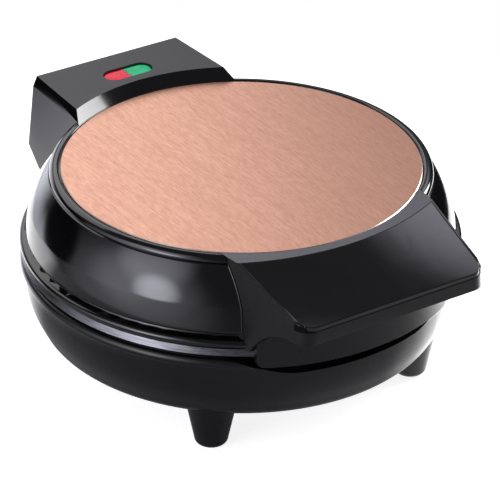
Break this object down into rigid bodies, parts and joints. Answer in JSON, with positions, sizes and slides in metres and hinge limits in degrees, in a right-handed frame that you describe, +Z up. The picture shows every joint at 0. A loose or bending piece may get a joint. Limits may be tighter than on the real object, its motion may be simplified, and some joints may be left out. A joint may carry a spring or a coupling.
{
  "type": "heart waffle maker",
  "caption": "Round countertop waffle maker with hinged lid, wedge handle, brushed copper-coloured cover and heart-shaped baking pockets inside.",
  "frame": {"origin": "middle of the bounding box on the table plane, where the feet stand", "axes": "+Z up, handle towards -Y, hinge and cord inlet towards +Y, X across"},
  "size_m": [0.205, 0.24, 0.1043],
  "materials": {
    "gloss_black": "high gloss moulded plastic",
    "satin_black": "fine satin moulded plastic",
    "plate_black": "polished plastic insert",
    "copper_sheet": "brushed sheet anodised in a copper tone, with a bright edge",
    "coated_plate": "die casting with a speckled dark non-stick coating",
    "bare_sheet": "thin bright sheet",
    "element_tube": "dull dark steel tube",
    "steel": "plain steel",
    "red_lens": "clear red plastic",
    "green_lens": "clear green plastic",
    "clear_lamp": "clear glass bulb",
    "white_carrier": "heat resistant white plastic",
    "terminal_plastic": "white terminal plastic",
    "ceramic_body": "unglazed ceramic",
    "fibre_sleeve": "woven glass fibre sleeve",
    "wire_cover": "silicone wire cover",
    "lead_sleeve": "black heat resistant sleeve",
    "brass_tag": "bare brass"
  },
  "bodies": {
    "base": {"base_shell": "satin_black", "foot_front_left": "satin_black", "foot_front_right": "satin_black", "foot_rear_left": "satin_black", "foot_rear_right": "satin_black", "foot_screws": "steel", "lower_plate": "coated_plate", "lower_element": "element_tube", "lower_element_clips": "bare_sheet", "lower_clip_screws": "steel", "lower_reflector": "bare_sheet", "lower_plate_screws": "steel", "thermostat": "ceramic_body", "thermostat_bracket": "bare_sheet", "thermal_fuse": "fibre_sleeve", "terminal_block": "terminal_plastic", "earth_tag": "brass_tag", "earth_tag_screw": "steel", "base_leads": "wire_cover", "base_sleeve": "lead_sleeve", "cord_bush": "satin_black"},
    "lid": {"lid_shell": "gloss_black", "lid_frame": "gloss_black", "lid_disc": "copper_sheet", "handle_body": "satin_black", "handle_plate": "plate_black", "handle_apron": "satin_black", "handle_screws": "steel", "lid_frame_screws": "steel", "upper_plate": "coated_plate", "upper_element": "element_tube", "upper_element_clips": "bare_sheet", "upper_clip_screws": "steel", "upper_reflector": "bare_sheet", "upper_plate_screws": "steel", "red_lens": "red_lens", "green_lens": "green_lens", "lamp_holder": "white_carrier", "power_lamp": "clear_lamp", "ready_lamp": "clear_lamp", "lid_leads": "wire_cover", "lid_sleeve": "lead_sleeve", "hinge_pin_left": "steel", "hinge_pin_right": "steel"}
  },
  "joints": [
    {"name": "lid_hinge", "type": "hinge", "parent": "base", "child": "lid", "pos_m": [0, 0.1117, 0.068], "axis": [-1, 0, 0], "range_deg": [0, 92]}
  ]
}
